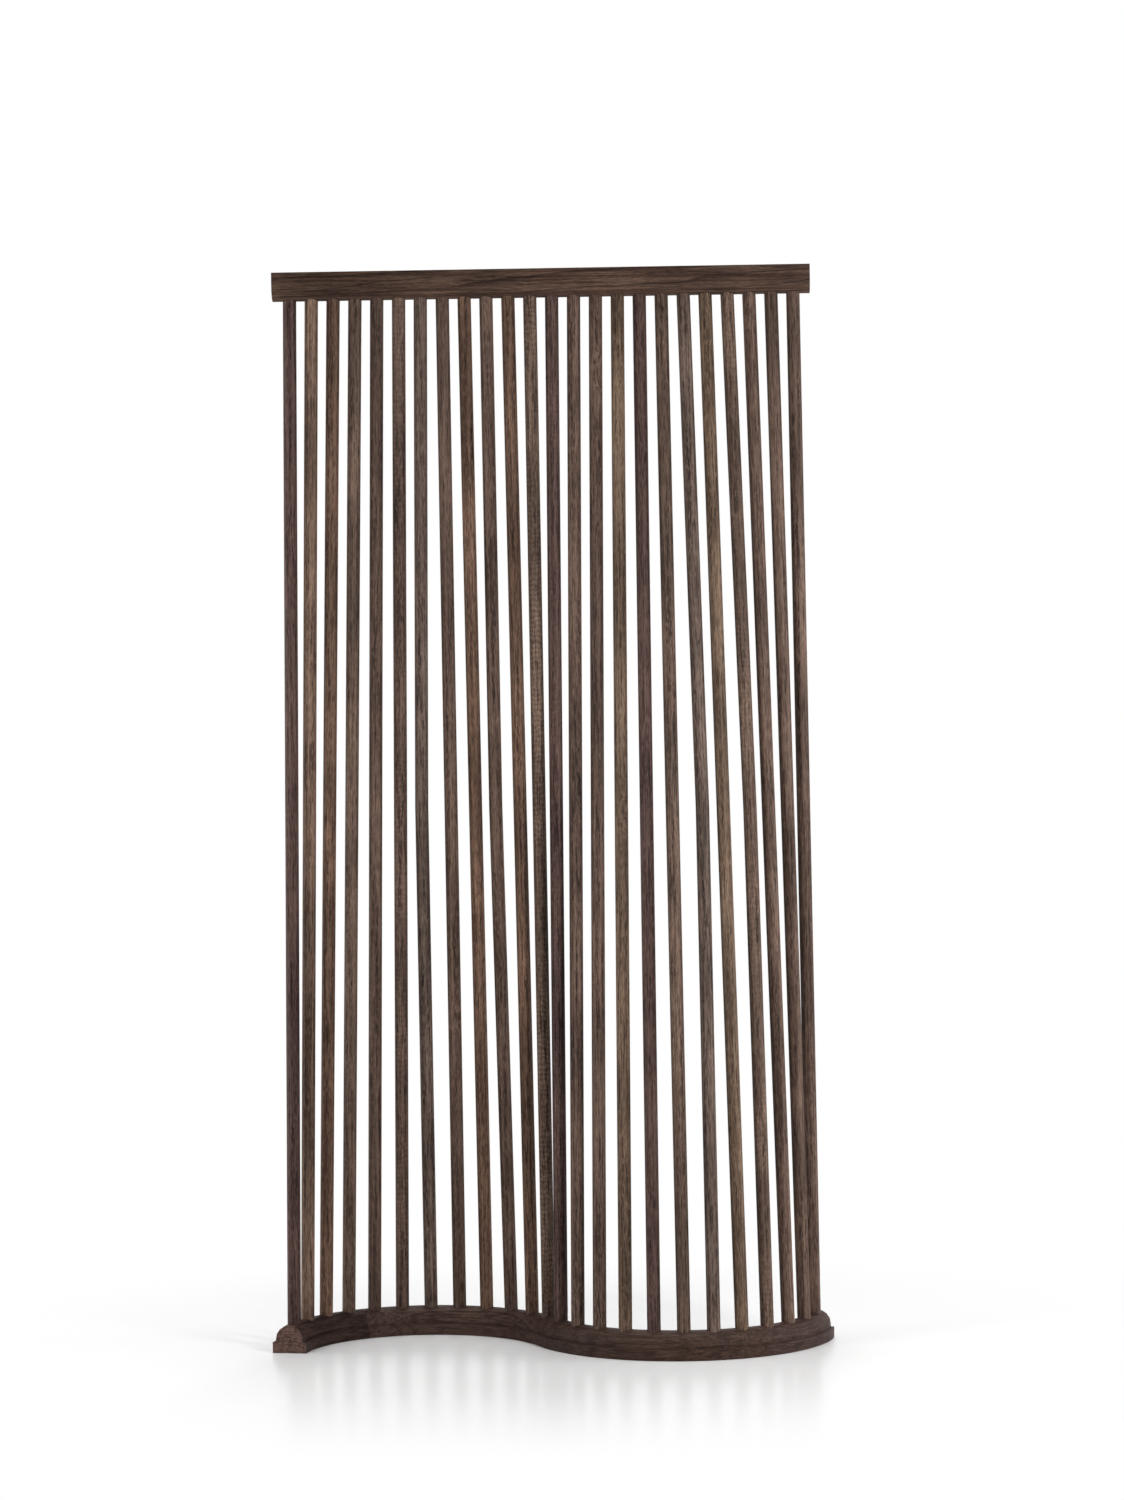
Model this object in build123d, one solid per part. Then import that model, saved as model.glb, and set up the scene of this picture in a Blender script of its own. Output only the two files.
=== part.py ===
from build123d import *
import os
from math import cos, degrees, radians, sin

# A rigid room divider of turned walnut spindles, in millimetres. A straight rail at the top and an S-shaped
# base on the floor are joined by one row of spindles, so the row is flat above and snakes below. The origin
# is on the floor, under the middle of the rail. X runs along the rail, Z is up, and the viewer is at -Y.
HEIGHT = 1800.0

# Spindles, all alike, shared out equally between the two arcs of the base.
SPINDLES_PER_ARC = 12
SPINDLE_DIAMETER = 22.5
# Rods this long aren't quite straight. These, numbered from the left, visibly bend: by this much at mid
# height, + to the right of the straight line between their ends. Each is drawn as two straight halves.
SPINDLE_BOW = {7: -7, 10: -5, 19: 7, 21: 5}

# The half-round that shapes both the rail's underside and the base's top.
HALF_ROUND_WIDTH = 46.0
# On the base it is drawn with this many equal flats, which keeps its sweep round the two arcs light.
BASE_ROUND_FLATS = 8

# The 48 sockets for the spindles' ends are drawn with this many sides, for the same reason.
SOCKET_SIDES = 12

# Top rail: a half-round under a flat-topped bar with straight sides and eased top edges.
RAIL_SIDE_HEIGHT = 24.0
RAIL_EDGE_EASE = 1.0
RAIL_PITCH = 36.5
RAIL_END_MARGIN = 28.0
RAIL_SOCKET_DEPTH = 30.0

# Base: two equal arcs that meet in an S, and the heading of its centre line where they meet, in degrees. 0 is
# along the rail to the right, and a minus turns towards the viewer.
BASE_ARC_RADIUS = 232.0
BASE_MIDDLE_HEADING = -66.0
BASE_PITCH = 49.4
BASE_END_MARGIN = 28.0
BASE_SOCKET_DEPTH = 25.0
PLINTH_HEIGHT = 18.0
PLINTH_LIP = 5.75
BASE_SIDE_HEIGHT = 5.5
# Spindles carried by each of the two short segments at the ends of the base.
END_SEGMENT_SPINDLES = 4

# Loose tenons, one across each of the three joints between base segments, at half the plinth's height.
TENON_LENGTH = 50.0
TENON_WIDTH = 24.0
TENON_THICKNESS = 10.0

# Room for glue all round what is let in: each spindle's ends and each tenon.
GLUE_GAP = 0.1

SPINDLE_COUNT = 2 * SPINDLES_PER_ARC
HALF_ROUND_RADIUS = HALF_ROUND_WIDTH / 2
RAIL_HEIGHT = RAIL_SIDE_HEIGHT + HALF_ROUND_RADIUS
RAIL_LENGTH = RAIL_PITCH * (SPINDLE_COUNT - 1) + 2 * RAIL_END_MARGIN
BASE_SHOULDER = PLINTH_HEIGHT + BASE_SIDE_HEIGHT
BASE_HEIGHT = BASE_SHOULDER + HALF_ROUND_RADIUS
BASE_END = BASE_PITCH * (SPINDLE_COUNT - 1) / 2 + BASE_END_MARGIN
BASE_OUTER_JOINT = BASE_PITCH * (SPINDLES_PER_ARC - END_SEGMENT_SPINDLES)
UP = Vector(0, 0, 1)


def base_heading(distance):
    """Heading of the base's centre line in degrees, at a distance along it from its middle, + rightwards."""
    return BASE_MIDDLE_HEADING + degrees(abs(distance) / BASE_ARC_RADIUS)


def base_point(distance):
    """Point of the base's centre line on the floor. The left arc is the right one turned half round."""
    heading = radians(base_heading(distance))
    middle = radians(BASE_MIDDLE_HEADING)
    arm = BASE_ARC_RADIUS if distance >= 0 else -BASE_ARC_RADIUS
    return Vector(arm * (sin(heading) - sin(middle)), arm * (cos(middle) - cos(heading)), 0)


def base_section():
    """Section of the base: a plinth, and on it short straight sides and the half-round."""
    half_plinth = HALF_ROUND_RADIUS + PLINTH_LIP
    turns = [radians(180 * flat / BASE_ROUND_FLATS) for flat in range(BASE_ROUND_FLATS + 1)]
    outline = Polyline(
        *[(HALF_ROUND_RADIUS * cos(turn), BASE_SHOULDER + HALF_ROUND_RADIUS * sin(turn)) for turn in turns],
        (-HALF_ROUND_RADIUS, PLINTH_HEIGHT),
        (-half_plinth, PLINTH_HEIGHT),
        (-half_plinth, 0),
        (half_plinth, 0),
        (half_plinth, PLINTH_HEIGHT),
        (HALF_ROUND_RADIUS, PLINTH_HEIGHT),
        close=True,
    )
    return make_face(outline)


def base_segment(start, stop):
    """Length of the base between two distances along its centre line, both in the same arc, not yet bored."""
    path = ThreePointArc(base_point(start), base_point((start + stop) / 2), base_point(stop))
    upright = Plane(origin=path @ 0, x_dir=UP.cross(path % 0), z_dir=path % 0)
    return sweep(upright * base_section(), path=path)


def rail_bar():
    """Top rail, not yet bored."""
    low = HEIGHT - RAIL_HEIGHT
    shoulder = HEIGHT - RAIL_SIDE_HEIGHT
    outline = Polyline(
        (-HALF_ROUND_RADIUS, shoulder),
        (-HALF_ROUND_RADIUS, HEIGHT),
        (HALF_ROUND_RADIUS, HEIGHT),
        (HALF_ROUND_RADIUS, shoulder),
    )
    underside = ThreePointArc(outline @ 1, (0, low), outline @ 0)
    face = make_face(outline.edges() + underside.edges())
    section = fillet(face.vertices().group_by(Axis.Y)[-1], RAIL_EDGE_EASE)
    return extrude(Plane.YZ.offset(-RAIL_LENGTH / 2) * section, RAIL_LENGTH)


def spindle_line(number):
    """Centre line of a spindle, straight or bent, from its foot in the base to its head in the rail."""
    offset = number - (SPINDLE_COUNT + 1) / 2
    foot = base_point(offset * BASE_PITCH) + UP * BASE_HEIGHT
    head = Vector(offset * RAIL_PITCH, 0, HEIGHT - RAIL_HEIGHT)
    way = (head - foot).normalized()
    low = foot - way * BASE_SOCKET_DEPTH
    high = head + way * RAIL_SOCKET_DEPTH
    if number not in SPINDLE_BOW:
        return Line(low, high)
    middle = (low + high) / 2 + Vector(SPINDLE_BOW[number], 0, 0)
    return Polyline(low, middle, high)


def spindle(line):
    """Round rod along a spindle's centre line, mitred where it bends."""
    foot = Plane(origin=line @ 0, z_dir=line % 0) * Circle(SPINDLE_DIAMETER / 2)
    return sweep(foot, path=line, transition=Transition.RIGHT)


def socket(end, inward, depth):
    """Cut for one end of a spindle, clear of it by the glue gap, and long enough to come out of the wood."""
    floor = Plane(origin=end - inward * GLUE_GAP, z_dir=inward)
    outline = RegularPolygon(SPINDLE_DIAMETER / 2 + GLUE_GAP, SOCKET_SIDES, major_radius=False)
    return extrude(floor * outline, 2 * depth)


def tenon(distance, gap=0.0):
    """Loose tenon across a joint of the base, or its mortise, larger by the gap."""
    middle = base_point(distance) + UP * (PLINTH_HEIGHT / 2)
    joint = Plane(origin=middle, x_dir=UP, z_dir=Vector(1, 0, 0).rotate(Axis.Z, base_heading(distance)))
    section = Rectangle(TENON_THICKNESS + 2 * gap, TENON_WIDTH + 2 * gap)
    return extrude(joint * section, TENON_LENGTH / 2 + gap, both=True)


lines = {number: spindle_line(number) for number in range(1, SPINDLE_COUNT + 1)}
feet = [socket(line @ 0, line % 0, BASE_SOCKET_DEPTH) for line in lines.values()]
heads = [socket(line @ 1, -(line % 1), RAIL_SOCKET_DEPTH) for line in lines.values()]

joints = {"left": -BASE_OUTER_JOINT, "middle": 0.0, "right": BASE_OUTER_JOINT}
mortises = [tenon(distance, GLUE_GAP) for distance in joints.values()]

segments = {
    "base_left_end": base_segment(-BASE_END, -BASE_OUTER_JOINT),
    "base_left_arc": base_segment(-BASE_OUTER_JOINT, 0.0),
    "base_right_arc": base_segment(0.0, BASE_OUTER_JOINT),
    "base_right_end": base_segment(BASE_OUTER_JOINT, BASE_END),
}

nodes = {f"spindle_{number:02d}": spindle(line) for number, line in lines.items()}
nodes |= {name: segment - feet - mortises for name, segment in segments.items()}
nodes |= {f"tenon_{name}": tenon(distance) for name, distance in joints.items()}
nodes["top_rail"] = rail_bar() - heads

os.makedirs("parts", exist_ok=True)
for name, shape in nodes.items():
    export_step(shape, f"parts/{name}.step")
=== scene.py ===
from math import atan2, cos, sin

import bpy
from mathutils import Matrix, Vector


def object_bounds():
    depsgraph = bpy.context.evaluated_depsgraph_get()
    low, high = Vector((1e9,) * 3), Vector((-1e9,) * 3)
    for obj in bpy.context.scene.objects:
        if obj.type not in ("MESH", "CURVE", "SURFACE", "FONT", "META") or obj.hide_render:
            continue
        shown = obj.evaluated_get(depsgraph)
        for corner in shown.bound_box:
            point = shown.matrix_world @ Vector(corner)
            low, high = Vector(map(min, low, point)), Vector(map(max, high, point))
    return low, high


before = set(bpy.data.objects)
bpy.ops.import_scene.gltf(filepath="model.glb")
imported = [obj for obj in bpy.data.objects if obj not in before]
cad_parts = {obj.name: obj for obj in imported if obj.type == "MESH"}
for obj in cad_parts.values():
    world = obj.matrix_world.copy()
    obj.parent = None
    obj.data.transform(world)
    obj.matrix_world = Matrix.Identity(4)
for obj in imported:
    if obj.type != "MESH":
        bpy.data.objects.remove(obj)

# Looks of the walnut room divider. Every visible solid is a node of the CAD frame, so this script gives
# each one walnut of its own, and sets up the floor, the light and the camera.
CAD_BOX = [list(corner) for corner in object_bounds()]
MM = 0.001

# Camera, solved from the ends of the spindles in the photograph, which is 1124 by 1500. Angles are in
# radians.
CAMERA_PLACE = (0.2331, -6.717, 1.171)
CAMERA_TURN_LEFT = 0.03095
CAMERA_LOOK_DOWN = 0.02569
CAMERA_ROLL = 0.01388
FOCAL_PIXELS = 4022
LONG_SIDE_PIXELS = 1500
SENSOR = 36.0

# Studio. The white room lights everything evenly, as strongly as this.
ROOM_LIGHT = 0.20
# In front stands a soft box on each side, the right one stronger. Two strips light the outer spindles
# from the sides, and two boxes light the row from above. Each lamp: its place, what it looks at, its
# width and height, and its power in watts.
LAMPS = {
    "front_right_box": ((1.25, -1.5, 1.25), (0, 0, 1.1), 0.5, 0.7, 40),
    "front_left_box": ((-1.5, -1.25, 1.25), (0, 0, 1.1), 0.5, 0.7, 22),
    "top_box": ((0.0, 0.5, 3.6), (0, 0, 0), 2.6, 2.0, 80),
    "back_box": ((0.0, 1.9, 3.6), (0, 0, 0), 1.2, 1.2, 50),
    "left_strip": ((-2.6, 0.15, 1.0), (0, 0, 0.9), 0.7, 2.0, 40),
    "right_strip": ((2.6, 0.0, 1.0), (0, 0, 0.9), 0.7, 2.0, 40),
}

# Floor: a square of matte grey under a weak, blurred mirror that shows the spindles as soft upright
# stripes. It fades to white between two distances from its middle, where X counts for less than Y.
FLOOR_SIZE = 30.0
FLOOR_COLOUR = (0.57, 0.57, 0.57, 1)
FLOOR_MIRROR = 0.21
FLOOR_BLUR = 0.22
FLOOR_FADE_START = 0.35
FLOOR_FADE_END = 1.0
FLOOR_FADE_SHAPE = (0.8, 1.0, 0.0)

# Walnut as linear colours, before a piece's own tone: the dark line of a growth ring, its body and its
# pale part, sapwood, and open pores.
RING_DARK = (0.017, 0.0105, 0.0085, 1)
RING_BODY = (0.074, 0.046, 0.035, 1)
RING_PALE = (0.156, 0.106, 0.080, 1)
SAPWOOD = (0.42, 0.31, 0.215, 1)
PORE = (0.016, 0.010, 0.008, 1)

# Marks that are drawn out along the grain: their usual size across and along it in millimetres, their
# shift through the noise, and that noise's detail and roughness.
MARK_SIZES = {
    "bands": {"across": 6.0, "along": 260.0, "shift": 3.0, "detail": 2.0, "roughness": 0.5},
    "streaks": {"across": 3.0, "along": 90.0, "shift": 11.0, "detail": 3.0, "roughness": 0.6},
    "fibres": {"across": 0.8, "along": 15.0, "shift": 23.0, "detail": 3.0, "roughness": 0.65},
    "flecks": {"across": 2.6, "along": 14.0, "shift": 57.0, "detail": 2.0, "roughness": 0.6},
    "pores": {"across": 0.42, "along": 5.0, "shift": 31.0, "detail": 1.0, "roughness": 0.5},
}
# Levels of the noise at which a mark sets in and is full.
MARK_LEVELS = {
    "bands": (0.34, 0.62),
    "streaks": (0.52, 0.62),
    "fibres": (0.36, 0.66),
    "flecks": (0.50, 0.60),
    "pores": (0.60, 0.70),
}
# How far a mark covers what lies under it where it is full.
STREAK_STRENGTH = 0.75
FIBRE_STRENGTH = 0.66
PORE_STRENGTH = 0.55
SAPWOOD_STRENGTH = 0.5
KNOT_STRENGTH = 0.85

# The grain wavers sideways over this many millimetres, in noise of this many steps a millimetre.
GRAIN_WAVER = 9.0
WAVER_STEPS = (0.02, 0.02, 0.0035)

# Growth rings, in shares of a year: when the pale line of the early wood fades, when the dark line of the
# late wood comes up, and how far noise shifts the years to make rings of uneven width.
EARLY_LINE = (0.02, 0.16)
LATE_LINE = (0.76, 0.97)
YEAR_STEPS = 0.45
YEAR_SHIFT = 2.6
# The late line is fainter between the streaks than in them: levels of the streaks' noise, and strengths
# there.
LATE_LEVELS = (0.25, 0.7)
LATE_STRENGTHS = (0.55, 0.95)
# Pores are open in the early wood, and they close to this share by this share of the year.
LATE_PORES = 0.45
LATE_PORES_START = 0.8

# A knot, in millimetres: the distances from its middle between which its dark heart fades, those between
# which its push on the grain fades, and how far it pushes the grain aside.
KNOT_HEART = (1.2, 4.6)
KNOT_REACH = (2.0, 13.0)
KNOT_SWING = 5.0
# It is long in the grain, so a distance along the grain counts by this factor.
KNOT_SQUASH = 0.32

# Edge of a streak of sapwood, in radians round the rod: how far the bands push it, and how soft it is.
SAPWOOD_WANDER = 1.2
SAPWOOD_EDGE = 0.35

# Curly figure: cross bands that run this many radians a millimetre and wander, and are deeper in patches.
CURL_STEPS = 0.72
CURL_WANDER = 14.0
CURL_WANDER_STEPS = (0.09, 0.09, 0.045)
CURL_PATCH_STEPS = (0.03, 0.03, 0.008)
CURL_PATCH_LEVELS = (0.35, 0.6)
CURL_DEPTHS = (0.03, 0.26)

# Slow change of lightness along a piece: the noise's steps a millimetre, its levels, and the lightness at
# them.
DRIFT_STEPS = (0.0, 0.0, 0.0045)
DRIFT_LEVELS = (0.33, 0.67)
LIGHTNESS = (0.64, 1.10)

# Surface: a dry oil finish that lets the fibres and pores be felt.
SPECULAR = 0.06
FIBRE_LEVELS = (0.3, 0.8)
ROUGHNESS = (0.46, 0.60)
PORE_ROUGHNESS = 0.2
FIBRE_RELIEF = 0.35
LATE_RELIEF = 0.15
RELIEF_STRENGTH = 0.35
RELIEF_DEPTH = 0.12 * MM
EDGE_SAMPLES = 4

# Tones of the boards that the pieces were cut from, as factors on the walnut.
TONES = {
    "brown": (1.00, 0.98, 0.96),
    "russet": (1.14, 1.00, 0.90),
    "tan": (1.34, 1.28, 1.20),
    "olive": (1.14, 1.13, 1.02),
    "umber": (0.92, 0.88, 0.88),
    "plum": (0.70, 0.62, 0.70),
    "grey": (0.96, 1.00, 1.06),
}
# Tone of each spindle from the left.
SPINDLE_TONES = (
    "plum tan russet brown umber umber grey umber russet umber russet brown "
    "plum umber umber olive plum brown grey olive brown umber umber umber"
).split()
# Spindles with a figure of their own: how strong the curl is, how high above the floor a small knot is in
# metres, and how wide a streak of sapwood shows.
CURLY = {12: 0.9, 6: 0.5, 21: 0.45, 13: 0.3}
KNOTS = {15: 1.63, 14: 0.98, 16: 0.90, 8: 0.55}
SAPWOOD_STREAKS = {22: 0.45, 18: 0.35, 16: 0.3}
# Where a knot lies across the spindle, in millimetres from its axis: near the side towards the viewer.
KNOT_PLACE = (2.0, -9.0)

# Where the spindles were cut: how far they are from the pith, how much the pith drifts per millimetre,
# and how wide the rings are, in millimetres. Steps of the golden ratio spread these well from one spindle
# to the next.
PITH_DISTANCES = (22, 82)
PITH_DRIFT = 0.012
RING_WIDTHS = (2.6, 4.2)
GOLDEN_TURN = 2.39996
GOLDEN_STEP = 0.618
GOLDEN_REST = 0.382
# How far apart the spindles lie in the noise.
SEED_STEP = 7.3

# The rail's square sides are this high, so its grain axes lie at the top of its half-round.
RAIL_SIDE_HEIGHT = 24 * MM

# Boards of the base segments: where the pith is across the grain, how it drifts, the board's tone and the
# seed of its grain.
BASE_BOARDS = {
    "base_left_end": ((-10, -30), (0.01, 0.015), (0.46, 0.41, 0.44), 2.0),
    "base_left_arc": ((14, -46), (0.0, 0.01), (0.60, 0.53, 0.55), 5.2),
    "base_right_arc": ((-12, -52), (0.006, 0.008), (0.66, 0.58, 0.58), 8.9),
    "base_right_end": ((8, -34), (0.02, -0.01), (0.60, 0.52, 0.56), 12.7),
}
# The way that the left end of the base looks. Its board tone above is darker than the others', in part as
# painted shade on its sides, and its end face is painted lighter than the sides by this factor: painted light
# where the face is turned towards the front lamps. The painted light comes up between these cosines to that
# way.
LEFT_END_LOOKS = (-0.15, -0.99, 0.0)
PAINTED_LIGHT_FACTOR = 2.3
PAINTED_LIGHT_COSINES = (0.80, 0.95)

# Beech, for the tenons.
BEECH_DARK = (0.50, 0.33, 0.19, 1)
BEECH_PALE = (0.62, 0.43, 0.27, 1)
BEECH_STEPS = (900.0, 900.0, 260.0)
BEECH_ROUGHNESS = 0.6

# Sockets of Blender's Mix node where it mixes colours.
MIX_FACTOR = 0
MIX_FIRST = 6
MIX_SECOND = 7
MIX_RESULT = 2


class Graph:
    """Short way of writing a node tree: each call adds a node and returns one of its outputs."""

    def __init__(self, tree):
        self.tree = tree
        tree.nodes.clear()

    def add(self, kind, inputs=None, output=0, **settings):
        node = self.tree.nodes.new(kind)
        for name, value in settings.items():
            setattr(node, name, value)
        for name, value in (inputs or {}).items():
            socket = node.inputs[name]
            if isinstance(value, bpy.types.NodeSocket):
                self.tree.links.new(value, socket)
            else:
                socket.default_value = value
        return node.outputs[output] if output is not None else node

    def math(self, operation, *values):
        return self.add("ShaderNodeMath", dict(enumerate(values)), operation=operation)

    def vector(self, operation, *values, output=0):
        return self.add("ShaderNodeVectorMath", dict(enumerate(values)), output, operation=operation)

    def mix(self, factor, first, second, blend="MIX"):
        inputs = {MIX_FACTOR: factor, MIX_FIRST: first, MIX_SECOND: second}
        return self.add("ShaderNodeMix", inputs, MIX_RESULT, data_type="RGBA", blend_type=blend)

    def scaled(self, colour, factor):
        return self.add("ShaderNodeVectorMath", {"Vector": colour, "Scale": factor}, operation="SCALE")

    def stained(self, colour, mark, strength, stain):
        """Colour with a stain over it where the mark is."""
        return self.mix(self.math("MULTIPLY", mark, strength), colour, stain)

    def noise(self, place, detail=2.0, roughness=0.5, output=0):
        inputs = {"Vector": place, "Scale": 1.0, "Detail": detail, "Roughness": roughness}
        return self.add("ShaderNodeTexNoise", inputs, output)

    def between(self, value, low, high, start=0.0, stop=1.0):
        """Smooth step of the value, from start at low to stop at high."""
        inputs = {"Value": value, "From Min": low, "From Max": high, "To Min": start, "To Max": stop}
        return self.add("ShaderNodeMapRange", inputs, interpolation_type="SMOOTHSTEP")


def piece_space(g, lie):
    """Place in a piece, in millimetres along its grain axes."""
    inputs = {
        "Vector": g.add("ShaderNodeTexCoord", output="Object"),
        "Location": lie.to_translation(),
        "Rotation": lie.to_euler(),
        "Scale": (MM, MM, MM),
    }
    return g.add("ShaderNodeMapping", inputs, vector_type="TEXTURE")


def knot_distance(g, local, knot):
    """Distance from a knot, squashed along the grain."""
    squashed = g.vector("MULTIPLY", g.vector("SUBTRACT", local, knot), (1.0, 1.0, KNOT_SQUASH))
    return g.vector("LENGTH", squashed, output="Value")


def grain_space(g, local, seed, from_knot):
    """Place in the grain, which wavers slowly along the piece and swings round a knot."""
    slow = g.noise(g.vector("MULTIPLY_ADD", local, WAVER_STEPS, (seed, seed * 0.7, 0)), output="Color")
    waver = g.vector("MULTIPLY", g.vector("SUBTRACT", slow, (0.5, 0.5, 0.5)), (GRAIN_WAVER, GRAIN_WAVER, 0.0))
    grain = g.vector("ADD", local, waver)
    if from_knot is None:
        return grain
    swing = g.math("MULTIPLY", g.between(from_knot, *KNOT_REACH, 1.0, 0.0), KNOT_SWING)
    return g.vector("ADD", grain, g.add("ShaderNodeCombineXYZ", {0: swing, 1: swing, 2: 0.0}))


def drawn(g, grain, seed, across, along, shift, detail, roughness):
    """Noise drawn out along the grain."""
    steps = (1 / across, 1 / across, 1 / along)
    place = g.vector("MULTIPLY_ADD", grain, steps, (seed + shift, shift, shift))
    return g.noise(place, detail, roughness)


def time_of_year(g, parts, pith, lean, ring, seed):
    """Share of its year at which the wood grew, in rings of uneven width round the pith."""
    across = []
    for axis in (0, 1):
        drift = g.math("MULTIPLY", parts[2], lean[axis])
        across.append(g.math("SUBTRACT", g.math("SUBTRACT", parts[axis], pith[axis]), drift))
    squares = [g.math("MULTIPLY", part, part) for part in across]
    years = g.math("DIVIDE", g.math("SQRT", g.math("ADD", *squares)), ring)
    steps = g.add("ShaderNodeCombineXYZ", {0: g.math("MULTIPLY", years, YEAR_STEPS), 1: seed, 2: 0.0})
    shift = g.math("MULTIPLY", g.noise(steps, 1.0), YEAR_SHIFT)
    return g.math("FRACT", g.math("ADD", years, shift))


def sapwood(g, colour, parts, bands, width):
    """Colour with a streak of sapwood down one side of the rod."""
    angle = g.math("ABSOLUTE", g.math("ARCTAN2", parts[1], parts[0]))
    edge = g.math("ADD", angle, g.math("MULTIPLY", bands, SAPWOOD_WANDER))
    start = width * SAPWOOD_WANDER
    pale = g.between(edge, start, start + SAPWOOD_EDGE, 1.0, 0.0)
    return g.stained(colour, pale, SAPWOOD_STRENGTH, SAPWOOD)


def curly(g, colour, local, along, seed, curl):
    """Colour with light and dark cross bands."""
    wander = g.noise(g.vector("MULTIPLY_ADD", local, CURL_WANDER_STEPS, (seed, 5.0, 9.0)))
    turns = g.math("ADD", g.math("MULTIPLY", along, CURL_STEPS), g.math("MULTIPLY", wander, CURL_WANDER))
    patches = g.noise(g.vector("MULTIPLY_ADD", local, CURL_PATCH_STEPS, (seed, 8.0, 1.0)), 1.0)
    depth = g.between(patches, *CURL_PATCH_LEVELS, CURL_DEPTHS[0] * curl, CURL_DEPTHS[1] * curl)
    return g.scaled(colour, g.math("MULTIPLY_ADD", g.math("SINE", turns), depth, 1.0))


def finish(g, colour, fibres, pores, late, soft):
    """Surface of the wood, with the relief of its fibres, pores and rings, and with eased edges."""
    sunk = g.math("ADD", pores, g.math("MULTIPLY", late, LATE_RELIEF))
    relief = g.math("SUBTRACT", g.math("MULTIPLY", fibres, FIBRE_RELIEF), sunk)
    edges = g.add("ShaderNodeBevel", {"Radius": soft * MM}, samples=EDGE_SAMPLES)
    bump = {"Height": relief, "Strength": RELIEF_STRENGTH, "Distance": RELIEF_DEPTH, "Normal": edges}
    roughness = g.between(fibres, *FIBRE_LEVELS, *ROUGHNESS)
    inputs = {
        "Base Color": colour,
        "Roughness": g.math("ADD", roughness, g.math("MULTIPLY", pores, PORE_ROUGHNESS)),
        "Specular IOR Level": SPECULAR,
        "Normal": g.add("ShaderNodeBump", bump),
    }
    shader = g.add("ShaderNodeBsdfPrincipled", inputs)
    g.add("ShaderNodeOutputMaterial", {"Surface": shader}, output=None)


def walnut(name, lie, pith, lean, ring, tone, seed, curl=0.0, knot=None, sap=0.0,
           streak=1.0, line=0.3, fleck=0.45, shade=1.0, soft=1.0, painted_light_face=None):
    """Solid walnut for one piece.

    lie is the matrix from the piece's grain axes to the world, with Z along the grain. pith is the
    middle of the log in millimetres across the grain, lean how far it drifts per millimetre of length,
    ring the growth rings' usual width, tone a factor on each colour, and seed the place in the noise.
    curl is how strong the cross bands are, knot the place of a knot along the grain axes, and sap how
    wide a streak of sapwood it shows. streak is how strong the dark streaks are, line how clear the thin
    pale line of each ring is, fleck how clear the short pale flecks are, and shade how light the piece
    is. soft is how far its edges are eased in millimetres. The last argument is the way that an end face
    looks; that face is painted lighter, as painted light where it faces the front lamps.
    """
    material = bpy.data.materials.new(name)
    material.use_nodes = True
    g = Graph(material.node_tree)
    local = piece_space(g, lie)
    from_knot = knot_distance(g, local, knot) if knot is not None else None
    grain = grain_space(g, local, seed, from_knot)
    parts = g.add("ShaderNodeSeparateXYZ", {0: grain}, output=None).outputs
    noises = {mark: drawn(g, grain, seed, **sizes) for mark, sizes in MARK_SIZES.items()}
    marks = {mark: g.between(noise, *MARK_LEVELS[mark]) for mark, noise in noises.items()}

    year = time_of_year(g, parts, pith, lean, ring, seed)
    early = g.between(year, *EARLY_LINE, line, 0.0)
    late = g.math("MULTIPLY", g.between(year, *LATE_LINE), g.between(year, LATE_LINE[1], 1.0, 1.0, 0.0))
    late_strength = g.between(noises["streaks"], *LATE_LEVELS, *LATE_STRENGTHS)
    pores = g.math("MULTIPLY", marks["pores"], g.between(year, 0.0, LATE_PORES_START, 1.0, LATE_PORES))

    colour = g.mix(marks["bands"], RING_BODY, RING_PALE)
    colour = g.stained(colour, late, late_strength, RING_DARK)
    colour = g.mix(early, colour, RING_PALE)
    colour = g.stained(colour, marks["streaks"], STREAK_STRENGTH * streak, RING_DARK)
    colour = g.stained(colour, marks["fibres"], FIBRE_STRENGTH, RING_DARK)
    colour = g.stained(colour, marks["flecks"], fleck, RING_PALE)
    colour = g.stained(colour, pores, PORE_STRENGTH, PORE)
    if sap:
        colour = sapwood(g, colour, parts, noises["bands"], sap)
    if curl:
        colour = curly(g, colour, local, parts[2], seed, curl)
    if from_knot is not None:
        colour = g.stained(colour, g.between(from_knot, *KNOT_HEART, 1.0, 0.0), KNOT_STRENGTH, PORE)

    drift = g.noise(g.vector("MULTIPLY_ADD", local, DRIFT_STEPS, (seed, 41.0, 0.0)))
    lightness = g.between(drift, *DRIFT_LEVELS, LIGHTNESS[0] * shade, LIGHTNESS[1] * shade)
    colour = g.scaled(g.mix(1.0, colour, (*tone, 1), "MULTIPLY"), lightness)
    # Painted light: the face turned the given way is made lighter, standing in for the front lamps on it.
    if painted_light_face is not None:
        normal = g.add("ShaderNodeNewGeometry", output="Normal")
        facing = g.vector("DOT_PRODUCT", normal, painted_light_face, output="Value")
        colour = g.scaled(colour, g.between(facing, *PAINTED_LIGHT_COSINES, 1.0, PAINTED_LIGHT_FACTOR))
    finish(g, colour, noises["fibres"], pores, late, soft)
    return material


def dress(node, material):
    for slot in node.material_slots:
        slot.material = material


def axes(origin, along, side):
    """Matrix of a piece's grain axes: Z along the grain, X towards the side."""
    z = Vector(along).normalized()
    x = (Vector(side) - z * z.dot(Vector(side))).normalized()
    matrix = Matrix((x, z.cross(x), z)).transposed().to_4x4()
    matrix.translation = origin
    return matrix


def ends(node):
    """Middles of a rod's lower and upper end faces."""
    points = [vertex.co for vertex in node.data.vertices]
    low = min(point.z for point in points)
    high = max(point.z for point in points)
    reach = 5 * MM
    feet = [point for point in points if point.z < low + reach]
    heads = [point for point in points if point.z > high - reach]
    return sum(feet, Vector()) / len(feet), sum(heads, Vector()) / len(heads)


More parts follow.
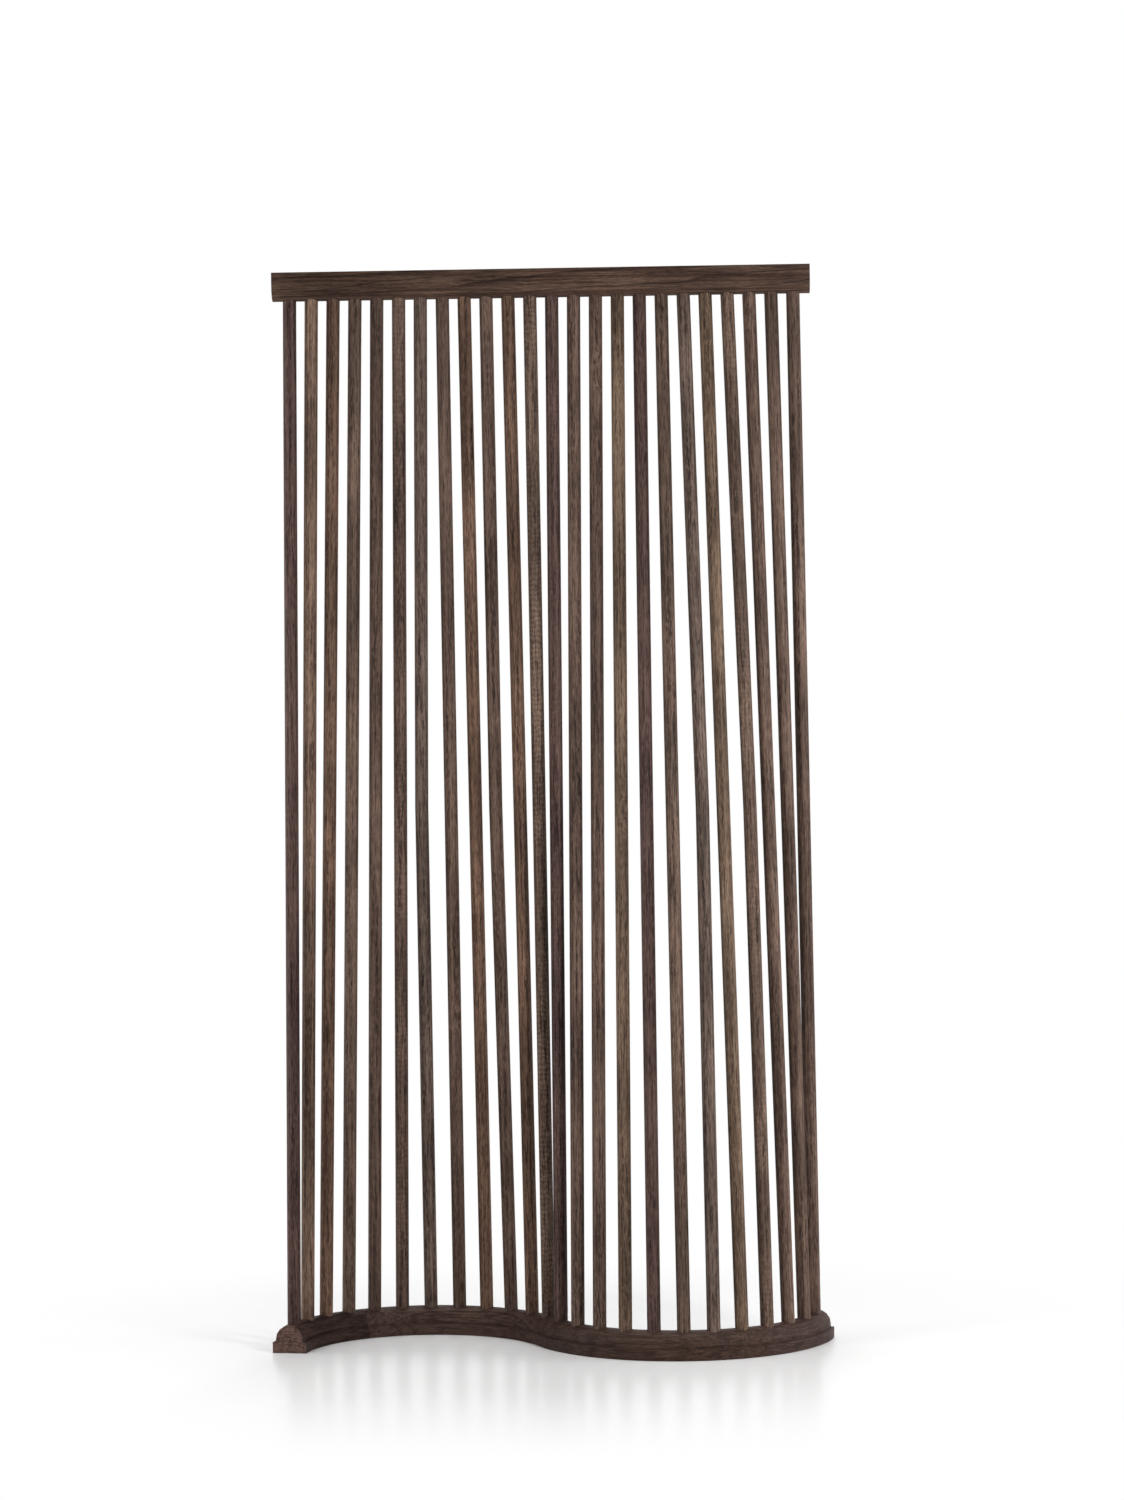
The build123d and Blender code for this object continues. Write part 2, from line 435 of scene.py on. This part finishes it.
def board_axes(node):
    """Grain axes of a base segment: its straight board lies the long way of the segment's foot."""
    near_floor = 1 * MM
    foot = [vertex.co for vertex in node.data.vertices if vertex.co.z < near_floor]
    middle = sum(foot, Vector()) / len(foot)
    offsets = [point - middle for point in foot]
    xx = sum(offset.x * offset.x for offset in offsets)
    xy = sum(offset.x * offset.y for offset in offsets)
    yy = sum(offset.y * offset.y for offset in offsets)
    heading = 0.5 * atan2(2 * xy, xx - yy)
    return axes(middle, (cos(heading), sin(heading), 0), (-sin(heading), cos(heading), 0))


def spread(number, step, limits):
    """Value between two limits that differs well from one number to the next."""
    low, high = limits
    return low + (high - low) * ((number * step) % 1)


# Spindles.
for number, tone in enumerate(SPINDLE_TONES, start=1):
    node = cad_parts[f"spindle_{number:02d}"]
    foot, head = ends(node)
    turn = number * GOLDEN_TURN
    distance = spread(number, GOLDEN_STEP, PITH_DISTANCES)
    knot = None
    if number in KNOTS:
        knot = (*KNOT_PLACE, (KNOTS[number] - foot.z) / MM)
    dress(node, walnut(
        f"walnut_spindle_{number:02d}",
        axes(foot, head - foot, (1, 0, 0)),
        pith=(distance * cos(turn), distance * sin(turn)),
        lean=(PITH_DRIFT * sin(3 * turn), PITH_DRIFT * cos(5 * turn)),
        ring=spread(number, GOLDEN_REST, RING_WIDTHS),
        tone=TONES[tone],
        seed=number * SEED_STEP,
        curl=CURLY.get(number, 0.0),
        knot=knot,
        sap=SAPWOOD_STREAKS.get(number, 0.0),
    ))

# Rail, cut from a wide board with its pith behind, so that long arches run along its front.
rail_middle = (0, 0, CAD_BOX[1][2] - RAIL_SIDE_HEIGHT)
dress(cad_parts["top_rail"], walnut(
    "walnut_rail",
    axes(rail_middle, (1, 0, 0), (0, -1, 0)),
    pith=(-34, 4),
    lean=(0.020, 0.004),
    ring=5.0,
    tone=(0.74, 0.66, 0.62),
    seed=3.1,
    streak=0.8,
    fleck=0.15,
    shade=0.84,
))

# Base segments.
for name, (pith, lean, tone, seed) in BASE_BOARDS.items():
    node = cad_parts[name]
    dress(node, walnut(
        f"walnut_{name}",
        board_axes(node),
        pith=pith,
        lean=lean,
        ring=5.5,
        tone=tone,
        seed=seed,
        streak=0.45,
        line=1.0,
        fleck=0.10,
        shade=0.76,
        soft=1.6,
        # Painted light on the left end face, which is made lighter where it faces the front lamps.
        painted_light_face=LEFT_END_LOOKS if name == "base_left_end" else None,
    ))

# Tenons. They are shut inside the base.
beech = bpy.data.materials.new("beech_tenon")
beech.use_nodes = True
g = Graph(beech.node_tree)
place = g.add("ShaderNodeTexCoord", output="Object")
figure = g.noise(g.vector("MULTIPLY", place, BEECH_STEPS), 3.0)
colour = g.mix(figure, BEECH_DARK, BEECH_PALE)
shader = g.add("ShaderNodeBsdfPrincipled", {"Base Color": colour, "Roughness": BEECH_ROUGHNESS})
g.add("ShaderNodeOutputMaterial", {"Surface": shader}, output=None)
for name in ("tenon_left", "tenon_middle", "tenon_right"):
    dress(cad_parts[name], beech)

# Floor. Near the object it takes the light and the shadow, and further off the camera sees it as plain
# white.
half = FLOOR_SIZE / 2
corners = [(-half, -half, 0), (half, -half, 0), (half, half, 0), (-half, half, 0)]
mesh = bpy.data.meshes.new("floor")
mesh.from_pydata(corners, [], [(0, 1, 2, 3)])
floor = bpy.data.objects.new("floor", mesh)
bpy.context.scene.collection.objects.link(floor)
paper = bpy.data.materials.new("floor_paper")
paper.use_nodes = True
g = Graph(paper.node_tree)
place = g.add("ShaderNodeTexCoord", output="Object")
away = g.vector("LENGTH", g.vector("MULTIPLY", place, FLOOR_FADE_SHAPE), output="Value")
seen = g.add("ShaderNodeLightPath", output="Is Camera Ray")
fade = g.math("MULTIPLY", g.between(away, FLOOR_FADE_START, FLOOR_FADE_END), seen)
matte = g.add("ShaderNodeBsdfDiffuse", {"Color": FLOOR_COLOUR})
mirror = g.add("ShaderNodeBsdfGlossy", {"Color": (1, 1, 1, 1), "Roughness": FLOOR_BLUR})
smooth = g.add("ShaderNodeMixShader", {0: FLOOR_MIRROR, 1: matte, 2: mirror})
white = g.add("ShaderNodeEmission", {"Color": (1, 1, 1, 1), "Strength": 1.0})
blend = g.add("ShaderNodeMixShader", {0: fade, 1: smooth, 2: white})
g.add("ShaderNodeOutputMaterial", {"Surface": blend}, output=None)
mesh.materials.append(paper)

# World: white to the camera, in reflections and through glass, and a plain even light on the object.
world = bpy.data.worlds.new("room")
bpy.context.scene.world = world
world.use_nodes = True
g = Graph(world.node_tree)
rays = g.add("ShaderNodeLightPath", output=None).outputs
mirrored = g.math("MAXIMUM", rays["Is Glossy Ray"], rays["Is Transmission Ray"])
shown = g.math("MAXIMUM", rays["Is Camera Ray"], mirrored)
strength = g.between(shown, 0.0, 1.0, ROOM_LIGHT, 1.0)
sky = g.add("ShaderNodeBackground", {"Color": (1, 1, 1, 1), "Strength": strength})
g.add("ShaderNodeOutputWorld", {"Surface": sky}, output=None)

# Lamps.
for name, (place, target, width, height, power) in LAMPS.items():
    data = bpy.data.lights.new(name, "AREA")
    data.shape = "RECTANGLE"
    data.size = width
    data.size_y = height
    data.energy = power
    lamp = bpy.data.objects.new(name, data)
    lamp.location = place
    lamp.rotation_mode = "QUATERNION"
    lamp.rotation_quaternion = (Vector(target) - Vector(place)).to_track_quat("-Z", "Y")
    bpy.context.scene.collection.objects.link(lamp)

# Camera.
ahead = Vector((-sin(CAMERA_TURN_LEFT), cos(CAMERA_TURN_LEFT), 0))
level = Vector((cos(CAMERA_TURN_LEFT), sin(CAMERA_TURN_LEFT), 0))
look = ahead * cos(CAMERA_LOOK_DOWN) - Vector((0, 0, sin(CAMERA_LOOK_DOWN)))
down = look.cross(level)
right = level * cos(CAMERA_ROLL) + down * sin(CAMERA_ROLL)
below = down * cos(CAMERA_ROLL) - level * sin(CAMERA_ROLL)
lens = bpy.data.cameras.new("camera")
lens.sensor_fit = "AUTO"
lens.sensor_width = SENSOR
lens.lens = FOCAL_PIXELS * SENSOR / LONG_SIDE_PIXELS
camera = bpy.data.objects.new("camera", lens)
camera.matrix_world = Matrix((right, -below, -look)).transposed().to_4x4()
camera.location = CAMERA_PLACE
bpy.context.scene.collection.objects.link(camera)
bpy.context.scene.camera = camera
bpy.context.scene.view_settings.view_transform = "Standard"
